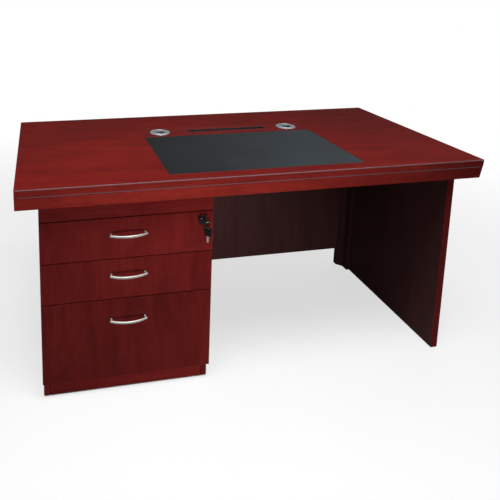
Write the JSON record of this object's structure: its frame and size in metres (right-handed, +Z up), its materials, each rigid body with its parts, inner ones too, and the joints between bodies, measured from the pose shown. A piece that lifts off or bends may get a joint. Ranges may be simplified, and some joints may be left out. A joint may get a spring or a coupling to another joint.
{
  "type": "teacher desk",
  "caption": "Office style teacher desk: thick wood top with an inset writing pad and cable outlets, a drawer pedestal with a key lock on the left, a panel leg and a modesty panel.",
  "frame": {"origin": "on the floor, below the middle of the top", "axes": "+X to the user's right along the desk, +Y away from the user, +Z up"},
  "size_m": [1.6, 0.7528, 0.754],
  "materials": {
    "veneer": "satin lacquered red mahogany veneer",
    "inner_board": "dull stained board",
    "drawer_board": "matte foil-wrapped board",
    "grey_strip": "satin grey inlay",
    "pad": "charcoal blue leather, fine grain",
    "outlet_metal": "silver satin",
    "satin_nickel": "satin nickel plate",
    "slide_steel": "zinc plated",
    "black_plastic": "matte moulded",
    "gloss_black": "glossy",
    "black_metal": "black lacquered die-cast metal"
  },
  "bodies": {
    "desk": {"top_board": "veneer", "top_front_rail": "veneer", "top_edge_rails": "veneer", "top_cross_rail": "inner_board", "upper_edge_strip": "grey_strip", "lower_edge_strip": "grey_strip", "writing_pad": "pad", "cable_panel": "veneer", "slot_trim": "black_plastic", "slot_cover": "gloss_black", "outlet_bodies": "outlet_metal", "pedestal_left_side": "veneer", "pedestal_right_side": "veneer", "pedestal_back": "veneer", "pedestal_bottom": "inner_board", "pedestal_plinth": "veneer", "pedestal_stretchers": "inner_board", "pedestal_front_rail": "veneer", "end_panel": "veneer", "modesty_panel": "veneer", "corner_post": "veneer", "fixing_brackets": "slide_steel", "fixing_screws": "slide_steel", "floor_glides": "black_plastic", "slide_cabinet_members": "slide_steel"},
    "outlet_cap_left": {"outlet_cap_left": "outlet_metal"},
    "outlet_cap_right": {"outlet_cap_right": "outlet_metal"},
    "drawer_1": {"drawer_1_front": "veneer", "drawer_1_sides": "drawer_board", "drawer_1_ends": "drawer_board", "drawer_1_bottom": "drawer_board", "drawer_1_handle": "satin_nickel", "drawer_1_screws": "slide_steel", "slide_inner_1": "slide_steel", "lock_housing": "black_metal", "lock_nut": "slide_steel"},
    "slide_middle_1": {"slide_middle_1": "slide_steel"},
    "drawer_2": {"drawer_2_front": "veneer", "drawer_2_sides": "drawer_board", "drawer_2_ends": "drawer_board", "drawer_2_bottom": "drawer_board", "drawer_2_handle": "satin_nickel", "drawer_2_screws": "slide_steel", "slide_inner_2": "slide_steel"},
    "slide_middle_2": {"slide_middle_2": "slide_steel"},
    "drawer_3": {"drawer_3_front": "veneer", "drawer_3_sides": "drawer_board", "drawer_3_ends": "drawer_board", "drawer_3_bottom": "drawer_board", "drawer_3_handle": "satin_nickel", "drawer_3_screws": "slide_steel", "slide_inner_3": "slide_steel"},
    "slide_middle_3": {"slide_middle_3": "slide_steel"},
    "lock_plug": {"lock_plug": "black_metal", "lock_cam": "slide_steel"},
    "key": {"key_blade": "satin_nickel", "key_head": "black_plastic"},
    "key_ring": {"key_ring": "satin_nickel"},
    "spare_key": {"spare_key_blade": "satin_nickel", "spare_key_head": "black_plastic"}
  },
  "joints": [
    {"name": "drawer_1_slide", "type": "slide", "parent": "desk", "child": "drawer_1", "axis": [0, -1, 0], "range_m": [0, 0.44]},
    {"name": "slide_middle_1_slide", "type": "slide", "parent": "desk", "child": "slide_middle_1", "axis": [0, -1, 0], "range_m": [0, 0.22]},
    {"name": "drawer_2_slide", "type": "slide", "parent": "desk", "child": "drawer_2", "axis": [0, -1, 0], "range_m": [0, 0.44]},
    {"name": "slide_middle_2_slide", "type": "slide", "parent": "desk", "child": "slide_middle_2", "axis": [0, -1, 0], "range_m": [0, 0.22]},
    {"name": "drawer_3_slide", "type": "slide", "parent": "desk", "child": "drawer_3", "axis": [0, -1, 0], "range_m": [0, 0.44]},
    {"name": "slide_middle_3_slide", "type": "slide", "parent": "desk", "child": "slide_middle_3", "axis": [0, -1, 0], "range_m": [0, 0.22]},
    {"name": "lock_turn", "type": "hinge", "parent": "drawer_1", "child": "lock_plug", "pos_m": [-0.206, -0.33, 0.596], "axis": [0, 1, 0], "range_deg": [0, 90]},
    {"name": "key_pull", "type": "slide", "parent": "lock_plug", "child": "key", "axis": [0, -1, 0], "range_m": [0, 0.016]},
    {"name": "key_ring_swing", "type": "hinge", "parent": "key", "child": "key_ring", "pos_m": [-0.20108, -0.3663, 0.596], "axis": [0, 1, 0], "range_deg": [-90, 0]},
    {"name": "spare_key_swing", "type": "hinge", "parent": "key_ring", "child": "spare_key", "pos_m": [-0.19435, -0.3663, 0.57744], "axis": [0, 1, 0], "range_deg": [-20, 20]},
    {"name": "outlet_left_turn", "type": "hinge", "parent": "desk", "child": "outlet_cap_left", "pos_m": [-0.242, 0.1305, 0.75], "axis": [0, 0, 1], "continuous": true},
    {"name": "outlet_right_turn", "type": "hinge", "parent": "desk", "child": "outlet_cap_right", "pos_m": [0.302, 0.1305, 0.75], "axis": [0, 0, 1], "continuous": true}
  ],
  "couplings": [
    {"joint": "slide_middle_1_slide", "follows": "drawer_1_slide", "ratio": 0.5},
    {"joint": "slide_middle_2_slide", "follows": "drawer_2_slide", "ratio": 0.5},
    {"joint": "slide_middle_3_slide", "follows": "drawer_3_slide", "ratio": 0.5},
    {"joint": "key_ring_swing", "follows": "lock_turn", "ratio": -1}
  ]
}
